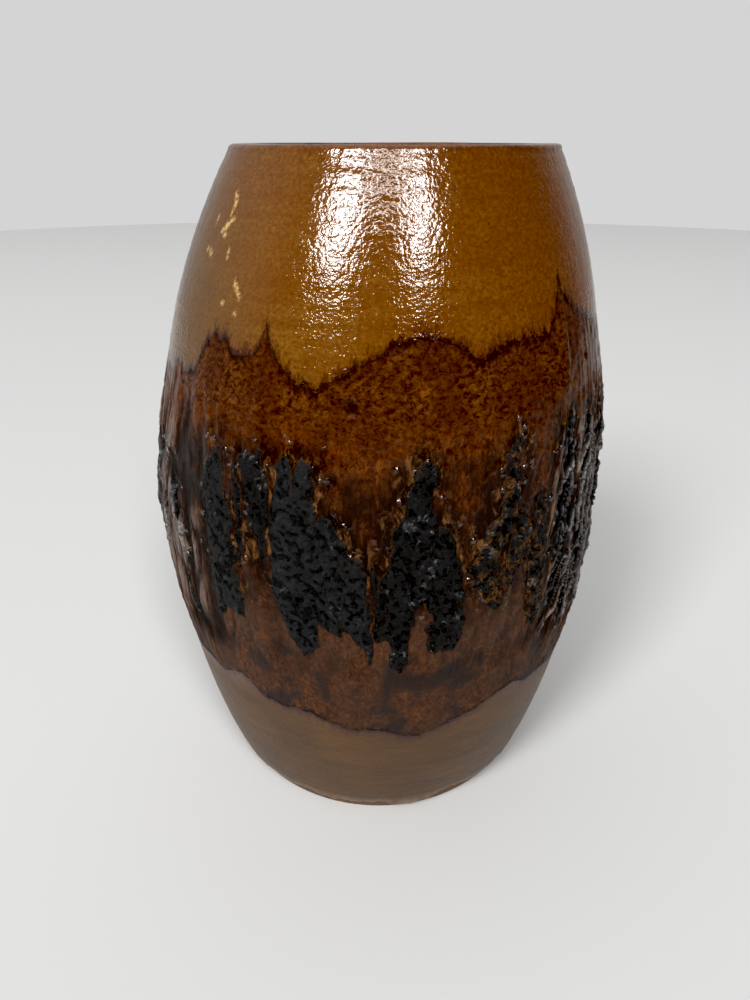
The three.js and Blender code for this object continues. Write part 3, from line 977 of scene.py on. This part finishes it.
def ochre_paint():
    """Glossy ochre, olive and satin below the band."""
    paint = Paint("ochre_glaze")
    height = paint.height()
    patch = paint.noise(20, 3, squash=(1, 1, 1.4))
    lines = paint.noise(2.2, 3, 0.6, squash=(0.12, 0.12, 1))
    mottle = paint.noise(0.8, 3, 0.7, squash=(0.85, 0.85, 1))
    cloud = paint.noise(6, 3, 0.6)
    top = paint.times(paint.span(height, 0.86, 1.0, 0, 0.6), paint.span(mottle, 0.3, 0.7, 1, 0.4))
    nick = paint.times(paint.value("nick"), paint.span(paint.noise(0.6, 2), 0.38, 0.55))
    low = paint.span(height, 0.32, 0.24, smooth=True)
    olive = paint.blend(paint.span(patch, 0.35, 0.65), (0.1, 0.044, 0.006), (0.072, 0.03, 0.004))
    olive = paint.blend(paint.span(lines, 0.42, 0.7, 0, 0.6), olive, (0.05, 0.021, 0.004))
    colour = paint.cover(
        ochre_body(paint, patch, lines, mottle, cloud),
        (top, (0.11, 0.032, 0.003)),
        (nick, (0.62, 0.42, 0.17)),
        (low, olive),
        (paint.span(paint.cells(8.5), 0.038, 0.02, 0, 0.8), (0.03, 0.01, 0.004)),
        *ochre_seam(paint, mottle),
        *ochre_ends(paint, mottle, cloud),
    )
    gloss = paint.span(paint.noise(2.5, 2), 0.3, 0.7, 0.07, 0.12)
    satin = paint.span(mottle, 0.3, 0.7, 0.4, 0.52)
    rough = paint.plus(paint.times(gloss, paint.span(low, 0, 1, 1, 0)), paint.times(satin, low))
    normal = paint.bumps((paint.noise(0.72, 1.8, 0.5, squash=(0.85, 0.85, 1)), 0.14), (lines, 0.06))
    return paint.finish(colour, rough, normal, 1.65)


def iron_zones(paint, zone, fleck, patch, skin):
    """From the top: rust, amber, ember dark with drips, and earth with dusky patches."""
    grain = paint.noise(1.15, 6, 0.8, squash=(0.8, 0.8, 1), twist=0.5)
    drips = paint.noise(3.4, 4, 0.6, squash=(1, 1, 0.24), twist=0.3)
    crumb = paint.noise(0.9, 5, 0.75, twist=0.6)
    rust = paint.blend(paint.span(grain, 0.42, 0.66), (0.029, 0.006, 0.002), (0.2, 0.077, 0.018))
    rust = paint.blend(paint.span(patch, 0.38, 0.62, 0, 0.5), rust, (0.05, 0.011, 0.004))
    amber = paint.blend(paint.span(fleck, 0.4, 0.64), (0.04, 0.008, 0.002), (0.175, 0.058, 0.009))
    ember = paint.blend(paint.span(fleck, 0.45, 0.68), (0.036, 0.007, 0.002), (0.155, 0.052, 0.009))
    ember = paint.blend(paint.span(drips, 0.4, 0.54, 0, 0.92), ember, (0.012, 0.0035, 0.002))
    earth = paint.cover(
        paint.blend(paint.span(skin, 0.36, 0.64), (0.044, 0.018, 0.009), (0.13, 0.056, 0.026)),
        (paint.span(patch, 0.42, 0.6, 0, 0.6), (0.06, 0.034, 0.023)),
        (paint.span(crumb, 0.48, 0.36, 0, 0.6), (0.03, 0.012, 0.007)),
        (paint.span(crumb, 0.58, 0.68, 0, 0.6), (0.2, 0.1, 0.045)),
    )
    cloudy = paint.times(
        paint.span(paint.noise(11, 3), 0.5, 0.6, 0, 0.8),
        paint.span(zone, 0.42, 0.36, smooth=True),
    )
    drawn = paint.times(paint.value("dusk"), paint.span(skin, 0.36, 0.5, 0.3, 0.9))
    return paint.cover(
        ember,
        (paint.span(zone, 0.585, 0.68, smooth=True), amber),
        (paint.span(zone, 0.655, 0.71, smooth=True), rust),
        (paint.span(zone, 0.5, 0.42, smooth=True), earth),
        (paint.larger(cloudy, drawn), (0.028, 0.022, 0.021)),
    )


def iron_stains(paint, colour, fleck):
    """The dark stain round the black runs, with gold flecks in it."""
    patchy = paint.span(paint.noise(2.6, 4, 0.65, squash=(1, 1, 0.4), twist=0.5), 0.4, 0.54)
    gleam = paint.noise(2.8, 4, 0.7, squash=(1, 1, 0.5), twist=0.8)
    gold = paint.blend(paint.span(fleck, 0.4, 0.6), (0.05, 0.016, 0.005), (0.24, 0.115, 0.036))
    return paint.cover(
        colour,
        (paint.times(paint.value("stain"), paint.span(patchy, 0, 1, 0.4, 1.0)), (0.008, 0.002, 0.001)),
        (paint.times(paint.value("stain"), paint.span(gleam, 0.5, 0.62, 0, 0.9)), gold),
    )


def paint_ridge_sheen_and_shade(paint, colour, sides, streak):
    """Painted shade in the grooves, and pale grey on the crests as painted sheen, where the glaze is drawn
    into ridges.
    """
    relief = paint.value("bark")
    # painted sheen greys the crests, more so to the right; painted shade darkens the grooves
    ash = paint.blend(paint.across(), (0.2, 0.147, 0.12), (0.31, 0.285, 0.27))
    groove_shade = paint.times(paint.span(relief, 0.1, -0.4, 0, 0.92), paint.span(sides, 0.2, 0.6))
    crest_sheen = paint.times(paint.span(relief, -0.05, 0.5, 0, 0.9), paint.span(sides, 0.5, 0.95))
    crest_sheen = paint.times(crest_sheen, paint.span(streak, 0.4, 0.56, 0.1, 1))
    return paint.cover(colour, (groove_shade, (0.010, 0.005, 0.003)), (crest_sheen, ash))


def iron_edges(paint, colour, patch):
    """Dark burst bubbles, and a dark ragged edge."""
    pit = paint.span(paint.value("pit"), 0.08, 0.3, 0, 0.85)
    hair = paint.noise(1.0, 4, 0.65, squash=(1, 1, 0.35))
    ragged = paint.plus(paint.value("inward"), paint.span(hair, 0.3, 0.7, -1.4, 1.4))
    ragged = paint.plus(ragged, paint.span(patch, 0.35, 0.65, -1.0, 1.2))
    edge = paint.span(ragged, 3.4, 1.0, 0, 0.9, smooth=True)
    return paint.cover(colour, (pit, (0.014, 0.004, 0.002)), (edge, (0.02, 0.005, 0.003)))


def iron_paint():
    """Brown and glossy above, matt below, with painted sheen on the crests and painted shade in the grooves
    at the sides.
    """
    paint = Paint("iron_glaze")
    fleck = paint.noise(1.1, 5, 0.72, squash=(1, 1, 0.6), twist=0.9)
    patch = paint.noise(9, 3, 0.6, squash=(1, 1, 0.8))
    skin = paint.noise(1.9, 4, 0.65, squash=(1, 1, 0.6), twist=1.2)
    streak = paint.noise(0.8, 4, 0.65, squash=(1, 1, 0.16), twist=0.3)
    zone = paint.plus(paint.height(), paint.span(patch, 0.2, 0.8, -0.045, 0.045))
    sides = paint.value("sides")
    colour = iron_zones(paint, zone, fleck, patch, skin)
    colour = iron_stains(paint, colour, fleck)
    colour = paint_ridge_sheen_and_shade(paint, colour, sides, streak)
    colour = iron_edges(paint, colour, patch)
    matt = paint.span(zone, 0.44, 0.36)
    rough = paint.plus(paint.span(matt, 0, 1, 0.08, 0.5), paint.span(fleck, 0.3, 0.7, 0, 0.06))
    rough = paint.plus(rough, paint.span(sides, 0.4, 0.9, 0, 0.2))
    bead = paint.times(paint.span(paint.cells(2.3), 0.5, 0.1, smooth=True), paint.value("stain"))
    bead = paint.times(bead, paint.span(paint.noise(4, 2), 0.5, 0.58))
    paint.wet(paint.span(bead, 0.05, 0.3))
    drawn = paint.span(sides, 0.4, 0.8)
    wrinkle = paint.noise(2.2, 4, 0.6, squash=(1, 1, 0.3), twist=0.6, kind="RIDGED_MULTIFRACTAL")
    normal = paint.bumps(
        (fleck, 0.05),
        (paint.times(skin, matt), 0.3),
        (paint.times(paint.span(wrinkle, 0.5, 1.0, 0, 0.8), drawn), 0.35),
        (paint.times(streak, drawn), 0.35),
        (bead, 0.8),
    )
    return paint.finish(colour, rough, normal, 1.27)


def black_paint():
    """Charcoal on top, with painted shade blackening the pits and hollows and painted sheen greying the
    crests of the side ridges, thin and brown at the edges.
    """
    paint = Paint("black_glaze")
    lump = paint.noise(0.75, 5, 0.7, twist=0.6)
    fine = paint.noise(0.35, 3, 0.6)
    ash = paint.noise(5, 3, 0.6)
    slate = paint.value("slate")
    brown = paint.blend(paint.span(fine, 0.4, 0.6), (0.025, 0.009, 0.004), (0.15, 0.07, 0.022))
    crest_sheen = paint.times(paint.value("crest_sheen"), paint.span(lump, 0.35, 0.55, 0.3, 1))
    pit_shade = paint.larger(paint.span(paint.value("pit"), 0.15, 0.6), paint.span(lump, 0.47, 0.4, 0, 0.8))
    pit_shade = paint.times(pit_shade, paint.span(fine, 0.35, 0.6, 1, 0.6))
    thin = paint.span(paint.value("depth"), 0.5, -0.1, 0, 0.4)
    gilt = paint.times(paint.value("gold"), paint.span(paint.noise(2.4, 4, 0.7), 0.5, 0.58, 0, 0.92))
    colour = paint.cover(
        paint.blend(paint.span(ash, 0.35, 0.65), (0.019, 0.0175, 0.0165), (0.034, 0.0355, 0.036)),
        (paint.span(fine, 0.6, 0.4, 0, 0.6), (0.006, 0.005, 0.005)),
        (paint.span(slate, 0, 1, 0.75, 0), (0.006, 0.004, 0.003)),
        # painted sheen on the ridges' crests, then painted shade in the pits and hollows
        (crest_sheen, (0.29, 0.262, 0.25)),
        (pit_shade, (0.0015, 0.001, 0.001)),
        (paint.larger(thin, gilt), brown),
    )
    rough = paint.minus(paint.span(ash, 0.35, 0.65, 0.3, 0.5), paint.times(pit_shade, 0.2))
    rough = paint.minus(rough, paint.times(gilt, 0.15))
    rough = paint.plus(rough, paint.span(slate, 0, 1, -0.1, 0.05))
    bead = paint.times(paint.span(paint.cells(2.0), 0.5, 0.1, smooth=True), paint.span(ash, 0.55, 0.61))
    bead = paint.times(bead, paint.span(slate, 0.5, 0.3, 0.25, 1))
    paint.wet(paint.span(bead, 0.05, 0.3))
    return paint.finish(colour, rough, paint.bumps((lump, 0.5), (fine, 0.18), (bead, 0.6)), 1.3)


# ---- Stage ----

FLOOR_REACH = 1.6  # in metres, like the panels' distance
FLOOR_CORNERS = 96
CAMERA_PLACE = (-0.0055, -1.1524, 1.0131)  # in heights of the vase
CAMERA_DOWN = 26.18
CAMERA_LENS = 0.751  # focal length over the picture's longer side
SENSOR = 36.0
BRIGHT_SIDE = (-0.45, 0.89, 0)  # the way to the brightest part of the room
BACKDROP = 0.7  # how bright the camera sees the room
LIGHT_DISTANCE = 8.0
LIGHT_AIM = 0.88  # the share that the panels face
# Each panel's azimuth, elevation, width, height and radiance.
PANELS = {
    "strip_left": (-33, 38.5, 14, 20, 25),
    "strip_right": (19, 38.5, 10.5, 20, 24),
    "strip_top": (-5, 53, 44, 8, 13),
}


def stage_floor():
    corners = np.linspace(0, 2 * np.pi, FLOOR_CORNERS, endpoint=False)
    mesh = bpy.data.meshes.new("floor")
    ring = [(FLOOR_REACH * math.cos(a), FLOOR_REACH * math.sin(a), 0) for a in corners]
    mesh.from_pydata(ring, [], [list(range(FLOOR_CORNERS))])
    floor = bpy.data.objects.new("floor", mesh)
    bpy.context.scene.collection.objects.link(floor)
    material = bpy.data.materials.new("pale_floor")
    material.use_nodes = True
    shader = material.node_tree.nodes["Principled BSDF"]
    shader.inputs["Base Color"].default_value = (0.58, 0.58, 0.576, 1)
    shader.inputs["Roughness"].default_value = 0.8
    mesh.materials.append(material)


def stage_world():
    """A pale room: dark in front, bright behind to the left and overhead. The camera sees it plain."""
    world = bpy.data.worlds.new("studio")
    bpy.context.scene.world = world
    world.use_nodes = True
    tree = world.node_tree
    way = add_node(tree, "TexCoord", "Generated", {})
    behind = tree.nodes.new("ShaderNodeVectorMath")
    behind.operation = "DOT_PRODUCT"
    feed(tree, behind.inputs[0], way)
    feed(tree, behind.inputs[1], BRIGHT_SIDE)
    room = span_node(tree, behind.outputs["Value"], -0.3, 0.5, 0.02, 0.5, smooth=True)
    up = add_node(tree, "SeparateXYZ", "Z", {"Vector": way})
    overhead = span_node(tree, up, 0.8, 0.93, 0, 0.4, smooth=True)
    seen = add_node(tree, "LightPath", "Is Camera Ray", {})
    lit = math_node(tree, "ADD", room, overhead)
    strength = add_node(tree, "Mix", "Result", {"Factor": seen, "A": lit, "B": BACKDROP})
    sky = tree.nodes["Background"]
    feed(tree, sky.inputs["Color"], (1, 1, 1, 1))
    feed(tree, sky.inputs["Strength"], strength)


def stage_light(name, azimuth, elevation, width, height, radiance):
    """A soft panel that faces the vase's shoulder, width and height in degrees as seen from there."""
    data = bpy.data.lights.new(name, "AREA")
    data.shape = "RECTANGLE"
    data.size = 2 * LIGHT_DISTANCE * math.tan(math.radians(width) / 2)
    data.size_y = 2 * LIGHT_DISTANCE * math.tan(math.radians(height) / 2)
    data.energy = radiance * math.pi * data.size * data.size_y
    light = bpy.data.objects.new(name, data)
    bpy.context.scene.collection.objects.link(light)
    around, above = math.radians(azimuth), math.radians(elevation)
    reach = LIGHT_DISTANCE * math.cos(above)
    target_z = LIGHT_AIM * HEIGHT * MM
    up = target_z + LIGHT_DISTANCE * math.sin(above)
    light.location = (reach * math.sin(around), -reach * math.cos(around), up)
    light.rotation_euler = (math.pi / 2 - above, 0, around)
    light.visible_camera = False


def stage_camera():
    data = bpy.data.cameras.new("camera")
    data.sensor_width = SENSOR
    data.lens = CAMERA_LENS * SENSOR
    data.clip_start = 0.01
    camera = bpy.data.objects.new("camera", data)
    camera.location = [share * HEIGHT * MM for share in CAMERA_PLACE]
    camera.rotation_euler = (math.radians(90 - CAMERA_DOWN), 0, 0)
    bpy.context.scene.collection.objects.link(camera)
    bpy.context.scene.camera = camera


stage_camera()
stage_floor()
stage_world()
for panel, numbers in PANELS.items():
    stage_light(panel, *numbers)
view = bpy.context.scene.view_settings
view.view_transform = "Standard"
view.gamma = 0.87
view.use_curve_mapping = True
view.curve_mapping.black_level = (0.015, 0.015, 0.015)


# ---- Assembly ----

def add(piece, material, slot, *nodes):
    piece.data.materials.append(material)
    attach(piece, BODY)
    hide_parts(*nodes)


RUN_NODES = sorted(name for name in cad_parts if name.startswith("black_glaze_run_"))
chance = np.random.default_rng(9)
ALL_STROKES = {node: RUN_STROKES.get(run_number(node)) or hidden_strokes(node, chance) for node in RUN_NODES}

add(clay_piece(), clay_paint(), "clay", "stoneware_body")
add(liner_piece(), liner_paint(), "liner", "liner_glaze")
add(ochre_piece(), ochre_paint(), "ochre", "ochre_glaze")
add(band_piece(), iron_paint(), "iron", "iron_glaze_band")
black = black_paint()
for number, (node, strokes) in enumerate(ALL_STROKES.items()):
    add(run_piece(node, strokes, number), black, "black", node)
